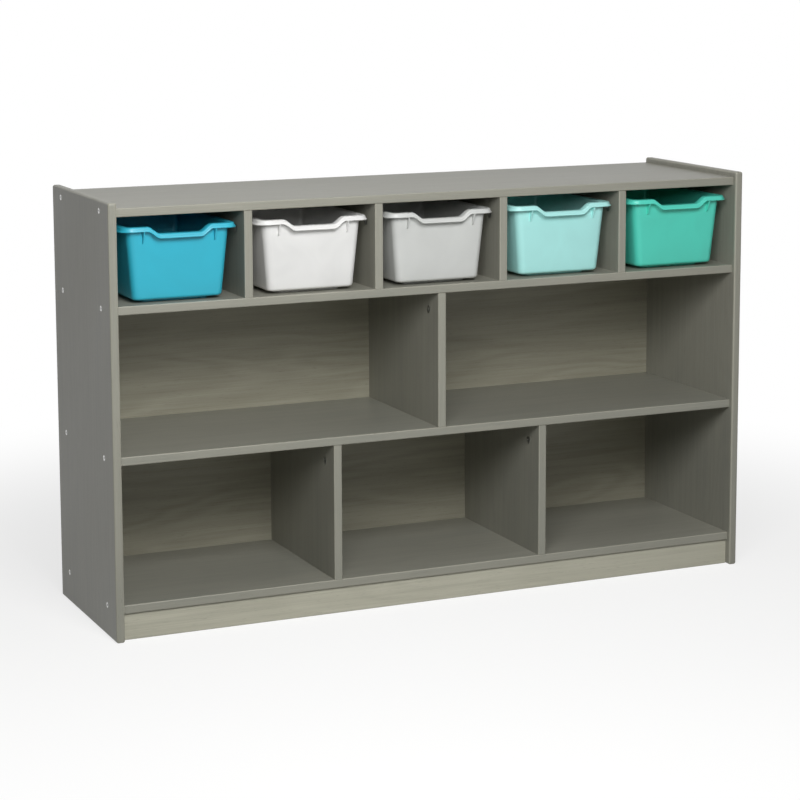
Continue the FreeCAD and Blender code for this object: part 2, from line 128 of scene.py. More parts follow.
class OrganizerBinSettings(bpy.types.PropertyGroup):
    turquoise: colour("Turquoise", "First bin from the left", "#33b3cb")
    white: colour("White", "Second bin", "#e9e9e7")
    grey: colour("Grey", "Third bin", "#d1d3d0")
    aqua: colour("Aqua", "Fourth bin", "#b4f2ee")
    green: colour("Green", "Fifth bin", "#57dcc6")
    wall: length("Wall", "Thickness of a bin's wall", 2.5)
    overhang: length("Overhang", "How far the rim stands out from the top of the tub", 13.0)
    side_taper: length("Side taper", "How far each side leans in, rim to floor", 12.0)
    end_taper: length("End taper", "How far each end leans in, rim to floor", 7.0)
    corner: length("Corner", "Radius of the tub's upright corners", 13.0)
    floor_round: length("Floor round", "Radius of the lower edge of the tub's walls", 6.0)
    foot_height: length("Foot height", "How far the middle of the underside reaches below its edge", 5.0)
    foot_inset: length("Foot inset", "How far the foot stands back from the tub's lower edge", 20.0)
    foot_corner: length("Foot corner", "Corner radius of the foot", 10.0)
    rim_height: length("Rim height", "Height of the rim's skirt", 7.5)
    rim_flare: length("Rim flare", "How far the skirt flares out at its foot", 4.0)
    rim_corner: length("Rim corner", "Corner radius of the rim's foot", 22.0)
    scoop: length("Scoop", "Dip in the front of the rim", 12.0)
    scoop_floor: length("Scoop floor", "Width of the level part of the dip", 76.0)
    scoop_shoulder: length("Scoop shoulder", "Run of each sloping shoulder", 17.0)
    scoop_bend: length("Scoop bend", "How far the dip's bends are rounded to either side", 2.8)
    rib_spacing: length("Rib spacing", "Between the two ribs under the front of the rim", 126.0)
    rib_thickness: length("Rib thickness", "Thickness of each rib", 2.0)
    rib_drop: length("Rib drop", "How far the ribs reach below the rim", 19.0)
    rib_toe: length("Rib toe", "What a rib still stands out at its lower end", 3.5)
    rib_shoulder: length("Rib shoulder", "From the front of the rim back to the rib under it", 3.4)


class OrganizerStageSettings(bpy.types.PropertyGroup):
    floor: colour("Floor", "Plain pale floor", "#f2f2f0")
    floor_bounce: colour("Floor bounce", "Light the floor sends back up", "#bcbcba")
    floor_shade: FloatProperty(name="Floor shade", description="How dark the shadow on the floor may be",
                               default=0.3, min=0.0, max=1.0)
    clear_floor: length("Clear floor", "From the middle of the floor to where it turns plain white", 1700.0)
    key_power: FloatProperty(name="Key lamp", description="Soft lamp in front, a little high and to the left",
                             default=13.8, min=0.0, unit="POWER")
    fill_power: FloatProperty(name="Fill lamp", default=34.0, min=0.0, unit="POWER",
                              description="Soft lamp further off and higher, almost straight in front")
    side_power: FloatProperty(name="Side lamp", description="Weak lamp further off, to the left",
                              default=6.0, min=0.0, unit="POWER")
    top_power: FloatProperty(name="Top lamp", description="Large weak lamp overhead",
                             default=8.0, min=0.0, unit="POWER")
    sky: FloatProperty(name="Room light", description="Even light from all round", default=0.0, min=0.0)
    camera_place: FloatVectorProperty(name="Camera", description="Place of the camera",
                                      default=(-1.7211, -3.8262, 1.1686), size=3, unit="LENGTH",
                                      subtype="TRANSLATION")
    camera_yaw: FloatProperty(name="Camera yaw", description="Turn to the right of straight ahead",
                              default=0.4202, unit="ROTATION")
    camera_pitch: FloatProperty(name="Camera pitch", description="Tilt above the horizon",
                                default=-0.1441, unit="ROTATION")
    camera_roll: FloatProperty(name="Camera roll", description="Roll about the view",
                               default=-0.0032, unit="ROTATION")
    camera_lens: FloatProperty(name="Lens", description="Focal length in millimetres on a 36 mm frame",
                               default=104.89, min=1.0)
    camera_shift: FloatProperty(name="Vertical shift", description="Shift of the frame, in frame widths",
                                default=-0.15)


# ---- nodes, meshes and pieces ------------------------------------------------------------
def add_node(tree, kind, links=None, **settings):
    """Add a shader node; links holds each input's value, or the output that feeds it."""
    node = tree.nodes.new("ShaderNode" + kind)
    for key, value in settings.items():
        setattr(node, key, value)
    for socket, value in (links or {}).items():
        if isinstance(value, bpy.types.NodeSocket):
            tree.links.new(value, node.inputs[socket])
        else:
            node.inputs[socket].default_value = value
    return node


def new_material(name):
    """An empty node material."""
    material = bpy.data.materials.new(name)
    material.use_nodes = True
    material.node_tree.nodes.clear()
    return material


def dress(node, material):
    """Give a CAD node's object a material in place of its plain one."""
    slots = frame["nodes"][node].material_slots
    for slot in slots:
        slot.material = material
    if not slots:
        frame["nodes"][node].data.materials.append(material)


def new_piece(name, mesh_data, material, body, *replaced):
    """Turn a bmesh into a finished object at the origin that rides on a body."""
    mesh = bpy.data.meshes.new(name)
    mesh_data.to_mesh(mesh)
    mesh_data.free()
    mesh.materials.append(material)
    piece = bpy.data.objects.new(name, mesh)
    bpy.context.scene.collection.objects.link(piece)
    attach(piece, body)
    if replaced:
        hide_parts(*replaced)
    return piece


def extrude_rings(bm, ring, places):
    """Extrude a closed ring of vertices once for each place, a function of the first ring's vertex.

    Returns the rings, each as a dictionary from the first ring's vertex to its own.
    """
    current = {vertex: vertex for vertex in ring}
    rings = [current]
    for place in places:
        owner = {vertex: first for first, vertex in current.items()}
        edges = [e for e in bm.edges if e.verts[0] in owner and e.verts[1] in owner and len(e.link_faces) < 2]
        made = bmesh.ops.extrude_edge_only(bm, edges=edges)["geom"]
        fresh = {item for item in made if isinstance(item, bmesh.types.BMVert)}
        current = {}
        for vertex in fresh:
            below = next(e.other_vert(vertex) for e in vertex.link_edges if e.other_vert(vertex) in owner)
            current[owner[below]] = vertex
        for first, vertex in current.items():
            vertex.co = place(first)
        rings.append(current)
    return rings


# ---- birch plywood -----------------------------------------------------------------------
# how much of the pattern each layer takes; the figure and the clouds share what is left of a half
STREAK_SHARE = 0.24
FIBRE_SHARE = 0.26
BOARD_FIGURE = 0.10
TOE_FIGURE = 0.14
BACK_FIGURE = 0.26
# how many times longer than wide each layer's marks are
FIGURE_SLENDERNESS = 7.0
STREAK_SLENDERNESS = 45.0
FIBRE_SLENDERNESS = 70.0
PORE_SLENDERNESS = 16.0
CLOUD_SLENDERNESS = 2.2
# real pores are 0.1 mm wide, too fine to show here, so they are drawn about 0.8 mm wide
PORE_SPACING = 1.1 * MM
CLOUD_SPACING = 220.0 * MM
# only the noise's highest peaks become pores
PORE_LOW, PORE_HIGH = 0.66, 0.74
CONTOUR_TURNS = 60.0
# how far pores, plies, rounded edges and sawn edges cover the wash, and a pore's darkness; the edges' paler
# tone is partly sanding and partly a painted highlight
PORE_COVER = 0.22
PLY_COVER = 0.16
ARRIS_COVER = 0.55
SAWN_COVER = 0.12
PORE_TONE = 0.33
# satin lacquer: its roughness from cloud to cloud, what a fibre adds, and the depth of the grain
LACQUER_LOW, LACQUER_HIGH = 0.38, 0.44
FIBRE_ROUGHNESS = 0.06
GRAIN_DEPTH = 0.08 * MM


def birch_plywood(name, grain, thickness, tones, settings, figure_depth):
    """Birch plywood: rotary-cut veneer, sanded, stained with a thin grey wash, then clear satin lacquer.

    The eye gets a quiet grey with wavy figure, straight fibres, short dark pores, sheets of ply as
    hairlines along the edges, and paler rounded edges, partly where sanding has thinned the wash and
    partly a painted highlight where they catch the lamps.
    grain and thickness are axes; tones are the deep, the plain and the thin wash; figure_depth is
    the figure's share of the pattern.
    """
    material = new_material(name)
    tree = material.node_tree
    place = add_node(tree, "TexCoord")
    # the pattern is made with its grain along X, so upright boards turn it a quarter about Y
    turn = (0.0, math.pi / 2, 0.0) if grain == AXIS_Z else (0.0, 0.0, 0.0)
    along = add_node(tree, "Mapping", {"Vector": place.outputs["Object"], "Rotation": turn})

    def grain_noise(spacing, slenderness, detail, distortion=0.0):
        """Noise drawn out along the grain, with its spacing across it in metres."""
        across = 1.0 / spacing
        stretch = add_node(tree, "Mapping", {"Vector": along.outputs[0],
                                             "Scale": (across / slenderness, across, across)})
        noise = add_node(tree, "TexNoise", {"Vector": stretch.outputs[0], "Scale": 1.0, "Detail": detail,
                                            "Roughness": 0.5, "Distortion": distortion})
        return noise.outputs["Fac"]

    def spread(value, low, high, to_low=0.0, to_high=1.0):
        """Spread a range of values out to another."""
        return add_node(tree, "MapRange", {"Value": value, "From Min": low, "From Max": high,
                                           "To Min": to_low, "To Max": to_high}).outputs[0]

    def calc(operation, first, second=0.0):
        """One step of arithmetic."""
        return add_node(tree, "Math", {0: first, 1: second}, operation=operation).outputs[0]

    # figure: contour lines of a slow noise, as a knife leaves them round a log
    slow = grain_noise(settings.figure, FIGURE_SLENDERNESS, 2.0, 0.5)
    contours = calc("SINE", calc("MULTIPLY", slow, CONTOUR_TURNS))
    figure = spread(contours, -1.0, 1.0)
    streaks = spread(grain_noise(settings.streak, STREAK_SLENDERNESS, 2.0), NOISE_LOW, NOISE_HIGH)
    fibres = spread(grain_noise(settings.fibre, FIBRE_SLENDERNESS, 2.0), NOISE_LOW, NOISE_HIGH)
    clouds = spread(grain_noise(CLOUD_SPACING, CLOUD_SLENDERNESS, 3.0), NOISE_LOW, NOISE_HIGH)
    pores = spread(grain_noise(PORE_SPACING, PORE_SLENDERNESS, 1.0), PORE_LOW, PORE_HIGH)

    mixed = calc("MULTIPLY", figure, figure_depth)
    for layer, share in ((streaks, STREAK_SHARE), (fibres, FIBRE_SHARE), (clouds, 0.5 - figure_depth)):
        mixed = calc("ADD", mixed, calc("MULTIPLY", layer, share))
    deep, plain, thin = [opaque(tone) for tone in tones]
    low = add_node(tree, "Mix", {0: spread(mixed, 0.1, 0.5), 6: deep, 7: plain}, data_type="RGBA")
    full = add_node(tree, "Mix", {0: spread(mixed, 0.5, 0.9), 6: low.outputs[2], 7: thin}, data_type="RGBA")
    pored = add_node(tree, "Mix", {0: calc("MULTIPLY", pores, PORE_COVER), 6: full.outputs[2],
                                   7: opaque(tones[0], PORE_TONE)}, data_type="RGBA")

    # edges: a face across the boards' thickness shows the plies; rounded arrises and sawn edges are paler,
    # partly because sanding thinned the wash and partly as a painted highlight
    normal = add_node(tree, "SeparateXYZ", {0: place.outputs["Normal"]})
    spot = add_node(tree, "SeparateXYZ", {0: place.outputs["Object"]})
    sizes = [calc("ABSOLUTE", normal.outputs[axis]) for axis in range(3)]
    edge = spread(sizes[thickness], 0.75, 0.3)
    plies = calc("SINE", calc("MULTIPLY", spot.outputs[thickness], math.pi / settings.ply))
    ply_shade = calc("MULTIPLY", calc("MULTIPLY", edge, spread(plies, -0.2, 1.0)), PLY_COVER)
    plied = add_node(tree, "Mix", {0: ply_shade, 6: pored.outputs[2], 7: deep}, data_type="RGBA")
    squareness = calc("MAXIMUM", calc("MAXIMUM", sizes[0], sizes[1]), sizes[2])
    edge_wear_and_highlight = calc("MAXIMUM", calc("MULTIPLY", spread(squareness, 0.97, 0.8), ARRIS_COVER),
                 calc("MULTIPLY", edge, SAWN_COVER))
    # mix in the paler edge tone: sanding plus a painted highlight
    sanded_and_highlit = add_node(tree, "Mix", {0: edge_wear_and_highlight, 6: plied.outputs[2], 7: opaque(settings.edge_wear_and_highlight)},
                      data_type="RGBA")

    relief = calc("SUBTRACT", calc("MULTIPLY", fibres, 0.5), pores)
    bump = add_node(tree, "Bump", {"Height": relief, "Strength": 0.5, "Distance": GRAIN_DEPTH})
    shine = calc("ADD", calc("MULTIPLY", fibres, FIBRE_ROUGHNESS),
                 spread(clouds, 0.0, 1.0, LACQUER_LOW, LACQUER_HIGH))
    surface = add_node(tree, "BsdfPrincipled", {"Base Color": sanded_and_highlit.outputs[2], "Roughness": shine,
                                                "IOR": 1.5, "Normal": bump.outputs[0]})
    add_node(tree, "OutputMaterial", {"Surface": surface.outputs[0]})
    return material


class ORGANIZER_OT_finish_boards(bpy.types.Operator):
    """Give every panel, shelf and divider its grey-washed birch"""
    bl_idname = "organizer.finish_boards"
    bl_label = "Finish boards"

    def execute(self, context):
        settings = context.scene.organizer_boards
        tones = (settings.wash_deep, settings.wash, settings.wash_thin)
        # the toe board's tones are a paler copy of the board wash, painted lighter for the light the floor
        # bounces onto it
        toe_painted_bounce_tones = (settings.toe_deep_painted_bounce, settings.toe_wash_painted_bounce, settings.toe_thin_painted_bounce)
        back_tones = (settings.back_deep, settings.back_wash, settings.back_thin)
        upright = birch_plywood("washed_birch_upright", AXIS_Z, AXIS_X, tones, settings, BOARD_FIGURE)
        level = birch_plywood("washed_birch_level", AXIS_X, AXIS_Z, tones, settings, BOARD_FIGURE)
        toe = birch_plywood("washed_birch_toe", AXIS_X, AXIS_Y, toe_painted_bounce_tones, settings, TOE_FIGURE)
        back = birch_plywood("washed_birch_back", AXIS_X, AXIS_Y, back_tones, settings, BACK_FIGURE)
        for node, slot in SLOT_OF.items():
            if slot == "back_birch":
                dress(node, back)
            # the toe board is the same washed birch, given its copy painted lighter as painted floor bounce
            elif slot == "washed_birch" and node == "toe_board":
                dress(node, toe)
            elif slot == "washed_birch":
                stands = "panel" in node or "divider" in node
                dress(node, upright if stands else level)
        return {"FINISHED"}


# ---- fixings -----------------------------------------------------------------------------
# metal: how dark its clouds are, how much wider they are than the grit, and how the gloss varies
CLOUD_TONE = 0.82
CLOUD_WIDTH = 5.0
GLOSSIER, DULLER = 0.06, 0.08
# beech: how many flecks fit across a metre, how they are drawn out along it, and their tone
FLECKS = 900.0
FLECK_STRETCH = 0.08
FLECK_TONE = 0.6


def bare_metal(name, tone, roughness, grit, depth):
    """Metal with a fine grit: a little dull where it is rough, never a mirror.

    grit is the spacing of its grain in metres and depth how deep it is.
    """
    material = new_material(name)
    tree = material.node_tree
    place = add_node(tree, "TexCoord")
    spot = place.outputs["Object"]
    grain = add_node(tree, "TexNoise", {"Vector": spot, "Scale": 1.0 / grit, "Detail": 3.0})
    clouds = add_node(tree, "TexNoise", {"Vector": spot, "Scale": 1.0 / (CLOUD_WIDTH * grit), "Detail": 2.0})
    tint = add_node(tree, "Mix", {0: clouds.outputs["Fac"], 6: opaque(tone, CLOUD_TONE), 7: opaque(tone)},
                    data_type="RGBA")
    dull = add_node(tree, "MapRange", {"Value": clouds.outputs["Fac"], "From Min": NOISE_LOW,
                                       "From Max": NOISE_HIGH, "To Min": roughness - GLOSSIER,
                                       "To Max": roughness + DULLER})
    bump = add_node(tree, "Bump", {"Height": grain.outputs["Fac"], "Strength": 0.6, "Distance": depth})
    surface = add_node(tree, "BsdfPrincipled", {"Base Color": tint.outputs[2], "Metallic": 1.0,
                                                "Roughness": dull.outputs[0], "Normal": bump.outputs[0]})
    add_node(tree, "OutputMaterial", {"Surface": surface.outputs[0]})
    return material


def plain_beech(name, tone):
    """Steamed beech, turned and unfinished: warm, close-grained, with short brown flecks."""
    material = new_material(name)
    tree = material.node_tree
    place = add_node(tree, "TexCoord")
    stretch = add_node(tree, "Mapping", {"Vector": place.outputs["Object"],
                                         "Scale": (1.0, 1.0, FLECK_STRETCH)})
    flecks = add_node(tree, "TexNoise", {"Vector": stretch.outputs[0], "Scale": FLECKS, "Detail": 2.0})
    amount = add_node(tree, "MapRange", {"Value": flecks.outputs["Fac"], "From Min": 0.45, "From Max": 0.7})
    tint = add_node(tree, "Mix", {0: amount.outputs[0], 6: opaque(tone), 7: opaque(tone, FLECK_TONE)},
                    data_type="RGBA")
    bump = add_node(tree, "Bump", {"Height": flecks.outputs["Fac"], "Strength": 0.4, "Distance": 0.1 * MM})
    surface = add_node(tree, "BsdfPrincipled", {"Base Color": tint.outputs[2], "Roughness": 0.6,
                                                "Normal": bump.outputs[0]})
    add_node(tree, "OutputMaterial", {"Surface": surface.outputs[0]})
    return material


class ORGANIZER_OT_finish_fixings(bpy.types.Operator):
    """Give the cam locks, cam bolts and dowels their metals and beech"""
    bl_idname = "organizer.finish_fixings"
    bl_label = "Finish fixings"

    def execute(self, context):
        settings = context.scene.organizer_fixings
        # die-cast zinc alloy, tumbled and left bare: pale, finely pitted, half dull
        dress("cam_locks", bare_metal("die_cast_zinc", settings.cast_zinc, roughness=0.42,
                                      grit=0.5 * MM, depth=0.02 * MM))
        # steel with bright zinc plate: cool and bright, with slight clouding
        dress("cam_bolts", bare_metal("zinc_plated_steel", settings.zinc_plate, roughness=0.3,
                                      grit=0.4 * MM, depth=0.01 * MM))
        beech = plain_beech("plain_beech", settings.beech)
        dress("divider_dowels", beech)
        dress("toe_board_dowels", beech)
        return {"FINISHED"}


SCREW_SEGMENTS = 24
HEAD_ROUND = 0.35 * MM
HEAD_LAND = 1.0 * MM
SCREW_POINT = 0.5 * MM
# neighbouring screws stop at different angles, in radians from board to board and row to row
BOARD_TURN, ROW_TURN = 0.7, 0.4
SCREW_CREASE = math.radians(35)


def add_screw(bm, settings, head, side, turn):
    """One countersunk screw whose head faces out of a side panel at a given place.

    side is -1 for the left panel and 1 for the right; turn is the socket's angle in radians.
    """
    made = bmesh.ops.create_circle(bm, segments=SCREW_SEGMENTS, radius=settings.head_radius)["verts"]
    angle = {vertex: math.atan2(vertex.co.y, vertex.co.x) for vertex in made}
    frame_turn = Matrix.Rotation(turn, 3, "Z")
    upright = Matrix.Rotation(side * math.pi / 2, 3, "Y")

    def level(radius, height, hexagon=False):
        """Place a ring's vertices on a circle, or on the hexagon drawn round that circle."""
        def place(first):
            reach = radius
            if hexagon:
                reach = radius / math.cos((angle[first] + math.pi) % (math.pi / 3) - math.pi / 6)
            flat = Vector((reach * math.cos(angle[first]), reach * math.sin(angle[first]), height))
            return head + upright @ (frame_turn @ flat)
        return place

    rim = HEAD_ROUND
    key = settings.socket / 2
    outside = [
        (settings.head_radius, -HEAD_LAND), (settings.shoulder_radius, -settings.head_height),
        (settings.shoulder_radius, -settings.shoulder_depth),
        (settings.thread_radius, -settings.shoulder_depth - rim),
        (settings.thread_radius, -settings.screw_length + 2 * rim), (SCREW_POINT, -settings.screw_length),
    ]
    inside = [
        (settings.head_radius - 0.3 * rim, -0.3 * rim, False), (settings.head_radius - rim, 0.0, False),
        (key + rim, 0.0, True), (key, -rim, True), (key, -settings.socket_depth, True),
        (0.3 * key, -settings.socket_depth - rim, True),
    ]
    first_place = level(settings.head_radius, -rim)
    for vertex in made:
        vertex.co = first_place(vertex)
    down = extrude_rings(bm, made, [level(radius, height) for radius, height in outside])
    up = extrude_rings(bm, made, [level(radius, height, hexagon) for radius, height, hexagon in inside])
    for last in (down[-1], up[-1]):
        bmesh.ops.contextual_create(bm, geom=list(last.values()))


class ORGANIZER_OT_drive_screws(bpy.types.Operator):
    """Model the side screws with rounded heads and hexagon sockets"""
    bl_idname = "organizer.drive_screws"
    bl_label = "Drive screws"

    def execute(self, context):
        settings = context.scene.organizer_fixings
        # steel with bright zinc plate, the socket cold-forged: bright with slight clouding
        steel = bare_metal("zinc_plated_steel_head", settings.zinc_plate, roughness=0.26,
                           grit=0.4 * MM, depth=0.01 * MM)
        boards = ("bottom_shelf", "middle_shelf", "upper_shelf", "top_board")
        for group, side in SCREW_GROUPS.items():
            low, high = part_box(group)
            face = low.x if side < 0 else high.x
            rows = (low.y + settings.head_radius, high.y - settings.head_radius)
            bm = bmesh.new()
            for board_index, board in enumerate(boards):
                board_low, board_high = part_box(board)
                for row_index, row in enumerate(rows):
                    head = Vector((face, row, (board_low.z + board_high.z) / 2))
                    turn = BOARD_TURN * board_index + ROW_TURN * row_index
                    add_screw(bm, settings, head, side, turn)
            bmesh.ops.recalc_face_normals(bm, faces=bm.faces)
            for face_made in bm.faces:
                face_made.smooth = True
            for edge in bm.edges:
                edge.smooth = edge.is_manifold and edge.calc_face_angle() < SCREW_CREASE
            new_piece(group + "_turned", bm, steel, "cabinet", group)
        return {"FINISHED"}


# ---- bins --------------------------------------------------------------------------------
# the skin's real grain is about 0.2 mm; it is drawn at 0.8 mm so that it shows at all
SKIN_GRAIN = 0.8 * MM
SKIN_DEPTH = 0.03 * MM
# where the plastic flowed in the mould its colour and gloss differ a little
FLOWS = 1.0 / 0.07
FLOW_DARKER, FLOW_BRIGHTER = 0.96, 1.03
GLOSS_LOW, GLOSS_HIGH = 0.30, 0.38


def moulded_polypropylene(name, tone):
    """Polypropylene, injection-moulded in a finely spark-eroded tool.

    The eye gets an even, full colour with a soft gloss that the fine skin breaks up a little.
    """
    material = new_material(name)
    tree = material.node_tree
    place = add_node(tree, "TexCoord")
    skin = add_node(tree, "TexNoise", {"Vector": place.outputs["Object"], "Scale": 1.0 / SKIN_GRAIN,
                                       "Detail": 2.0, "Roughness": 0.6})
    flow = add_node(tree, "TexNoise", {"Vector": place.outputs["Object"], "Scale": FLOWS,
                                       "Detail": 2.0, "Distortion": 0.8})
    amount = add_node(tree, "MapRange", {"Value": flow.outputs["Fac"], "From Min": NOISE_LOW,
                                         "From Max": NOISE_HIGH})
    tint = add_node(tree, "Mix", {0: amount.outputs[0], 6: opaque(tone, FLOW_DARKER),
                                  7: opaque(tone, FLOW_BRIGHTER)}, data_type="RGBA")
    gloss = add_node(tree, "MapRange", {"Value": flow.outputs["Fac"], "From Min": NOISE_LOW,
                                        "From Max": NOISE_HIGH, "To Min": GLOSS_LOW, "To Max": GLOSS_HIGH})
    bump = add_node(tree, "Bump", {"Height": skin.outputs["Fac"], "Strength": 0.35, "Distance": SKIN_DEPTH})
    surface = add_node(tree, "BsdfPrincipled", {"Base Color": tint.outputs[2], "Roughness": gloss.outputs[0],
                                                "IOR": 1.49, "Normal": bump.outputs[0]})
    add_node(tree, "OutputMaterial", {"Surface": surface.outputs[0]})
    return material


# steps round the tub's lower edge, heights of the levels up its wall in shares of its height, and
# how far below the top the wall turns into the rim
FLOOR_STEPS = 4
WALL_SHARES = (0.38, 0.68, 0.80)
TURN_IN = 3.0 * MM
# over the rim: out from the wall in shares of the overhang, and down from the top in shares of TURN_IN
CROWN = ((0.03, 0.30), (0.10, 0.08), (0.22, 0.0), (0.50, 0.0), (0.72, 0.0), (0.86, 0.12), (0.96, 0.42),
         (1.0, 0.9))
# the skirt flares like a bell, so its foot catches the light: shares of its flare and of its height
SKIRT = ((0.12, 0.50), (0.32, 0.70), (0.62, 0.86), (1.0, 1.0))


def bin_levels(settings, half_width, half_length, height):
    """The inner and upper skin of a bin, from its floor up and over the rim.

    Each level is half its width, half its length, its corner radius, its height, how much of the
    scoop's dip it takes, and how far it then moves outwards for each metre of dip.
    """
    wall = settings.wall
    top_half_width = half_width - settings.overhang - wall
    top_half_length = half_length - settings.overhang - wall
    corner = settings.corner - wall
    floor_round = settings.floor_round - wall
    lean = math.atan2(settings.side_taper, height)
    sweep = math.pi / 2 - lean

    def on_wall(level):
        drop = (height - level) / height
        return top_half_width - settings.side_taper * drop, top_half_length - settings.end_taper * drop

    # the foot's floor and the step up from it
    underside = settings.foot_height + wall
    wide, long = on_wall(underside)
    foot = (wide - settings.foot_inset, long - settings.foot_inset, settings.foot_corner - wall)
    levels = [foot + (wall, 0.0, 0.0), foot + (underside, 0.0, 0.0)]
    knuckle = underside + floor_round * (1 - math.cos(sweep))
    wide, long = on_wall(knuckle)
    for step in range(FLOOR_STEPS + 1):
        angle = sweep * step / FLOOR_STEPS
        inward = floor_round * (math.sin(sweep) - math.sin(angle))
        levels.append((wide - inward, long - inward, corner - inward,
                       underside + floor_round * (1 - math.cos(angle)), 0.0, 0.0))
    fall = settings.end_taper / height
    rim_lean = settings.rim_flare / (settings.rim_height + settings.scoop)
    end_share = settings.rim_height / (settings.rim_height + settings.scoop)
    for share in WALL_SHARES:
        wide, long = on_wall(height * share)
        levels.append((wide, long, corner, height * share, 0.0, 0.0))
    wide, long = on_wall(height - TURN_IN)
    levels.append((wide, long, corner, height - TURN_IN, 1.0, -fall))
    shelf = settings.overhang + wall - settings.rim_flare
    rim_corner = settings.rim_corner - settings.rim_flare
    for out, down in CROWN:
        grow = out * shelf
        levels.append((top_half_width + grow, top_half_length + grow,
                       corner + (rim_corner - corner) * out, height - down * TURN_IN, 1.0,
                       -fall + (rim_lean + fall) * out))
    for out, down in SKIRT:
        grow = out * settings.rim_flare
        levels.append((top_half_width + shelf + grow, top_half_length + shelf + end_share * grow,
                       rim_corner + grow, height - down * settings.rim_height, 1.0, rim_lean))
    return levels


CORNER_SEGMENTS = 8
BEND_STEPS = 10


def add_bin_shell(bm, settings, centre, base, half_width, half_length, height):
    """The tub and its rim as one thin shell."""
    levels = bin_levels(settings, half_width, half_length, height)
    floor_wide, floor_long, floor_corner = levels[0][:3]
    reach = half_width - settings.rim_corner
    dip_outer = settings.scoop_floor / 2 + settings.scoop_shoulder + settings.scoop_bend
    dip_inner = settings.scoop_floor / 2 - settings.scoop_bend

    # a flat floor with rounded corners, cut across where the scoop bends
    bmesh.ops.create_grid(bm, x_segments=1, y_segments=1, size=1.0)
    bmesh.ops.scale(bm, vec=(floor_wide, floor_long, 1.0), verts=bm.verts)
    bmesh.ops.bevel(bm, geom=bm.verts[:], offset=floor_corner, offset_type="OFFSET",
                    segments=CORNER_SEGMENTS, profile=0.5, affect="VERTICES", material=-1)
    slope_run = dip_outer - dip_inner
    bends = [dip_inner + slope_run * step / BEND_STEPS for step in range(BEND_STEPS + 1)] + [0.0]
    shrink = (floor_wide - floor_corner) / reach
    for bend in bends:
        for side in {bend, -bend}:
            bmesh.ops.bisect_plane(bm, geom=bm.verts[:] + bm.edges[:] + bm.faces[:], dist=TOUCHING,
                                   plane_co=(side * shrink, 0.0, 0.0), plane_no=(1.0, 0.0, 0.0))
    ring = list({vertex for edge in bm.edges if edge.is_boundary for vertex in edge.verts})

    inner_wide = floor_wide - floor_corner
    inner_long = floor_long - floor_corner
    station = {}
    for vertex in ring:
        x, y = vertex.co.x, vertex.co.y
        held_x = max(-inner_wide, min(inner_wide, x))
        held_y = max(-inner_long, min(inner_long, y))
        out = Vector((x - held_x, y - held_y)).normalized()
        station[vertex] = (held_x / inner_wide, held_y / inner_long, out.x, out.y)

    def level_place(level):
        wide, long, corner, up, dip_share, dip_out = level

        def place(first):
            share_x, share_y, out_x, out_y = station[first]
            x = share_x * (wide - corner) + out_x * corner
            y = share_y * (long - corner) + out_y * corner
            dip = 0.0
            if out_y < -0.999:
                slope = (dip_outer - abs(share_x * reach)) / slope_run
                slope = max(0.0, min(1.0, slope))
                dip = dip_share * settings.scoop * slope * slope * (3 - 2 * slope)
            return centre + Vector((x, y - dip * dip_out, base + up - dip))
        return place

    for vertex in bm.verts:
        vertex.co = centre + Vector((vertex.co.x, vertex.co.y, base + levels[0][3]))
    # the floor is left as it is, and only the ring climbs
    extrude_rings(bm, ring, [level_place(level) for level in levels[1:]])
    bmesh.ops.remove_doubles(bm, verts=bm.verts, dist=TOUCHING)
    bmesh.ops.recalc_face_normals(bm, faces=bm.faces)
    floor = min(bm.faces, key=lambda made: made.calc_center_median().z)
    if floor.normal.z < 0:
        bmesh.ops.reverse_faces(bm, faces=bm.faces)
    bmesh.ops.solidify(bm, geom=bm.faces[:], thickness=settings.wall)


RIB_ROUND = 0.3 * MM


def add_rib(bm, settings, x, front, base, height):
    """One upright gusset between the front wall and the rim."""
    top = base + height - 1.2 * settings.wall
    foot = base + height - settings.rim_height - settings.rib_drop
    wall_at_foot = front + settings.overhang + settings.end_taper * (base + height - foot) / height
    in_wall = 0.5 * settings.wall
    # upper or lower end, front or back: the rib's y and z there, its back and top sunk in the plastic
    corners = {
        (True, True): (front + settings.rim_flare + 0.7 * settings.wall, top),
        (True, False): (front + settings.overhang + in_wall, top),
        (False, True): (wall_at_foot - settings.rib_toe, foot),
        (False, False): (wall_at_foot + in_wall, foot - settings.rib_toe),
    }
    made = bmesh.ops.create_cube(bm, size=1.0)["verts"]
    for vertex in made:
        y, z = corners[(vertex.co.z > 0, vertex.co.y < 0)]
        vertex.co = Vector((x + vertex.co.x * settings.rib_thickness, y, z))
    # just under the rim the rib stands out furthest
    faces = list({face for vertex in made for face in vertex.link_faces})
    edges = list({edge for vertex in made for edge in vertex.link_edges})
    shoulder = base + height - settings.rim_height
    cut = bmesh.ops.bisect_plane(bm, geom=made + edges + faces, dist=TOUCHING,
                                 plane_co=(0.0, 0.0, shoulder), plane_no=(0.0, 0.0, 1.0))["geom_cut"]
    for item in cut:
        if isinstance(item, bmesh.types.BMVert):
            made.append(item)
            if item.co.y < front + settings.overhang:
                item.co.y = front + settings.rib_shoulder
    edges = list({edge for vertex in made for edge in vertex.link_edges})
    bmesh.ops.bevel(bm, geom=edges, offset=RIB_ROUND, offset_type="OFFSET", segments=2, profile=0.5,
                    affect="EDGES", material=-1)


BIN_CREASE = math.radians(40)
LIP_CREASE = math.radians(50)
LIP_ROUND = 0.7 * MM


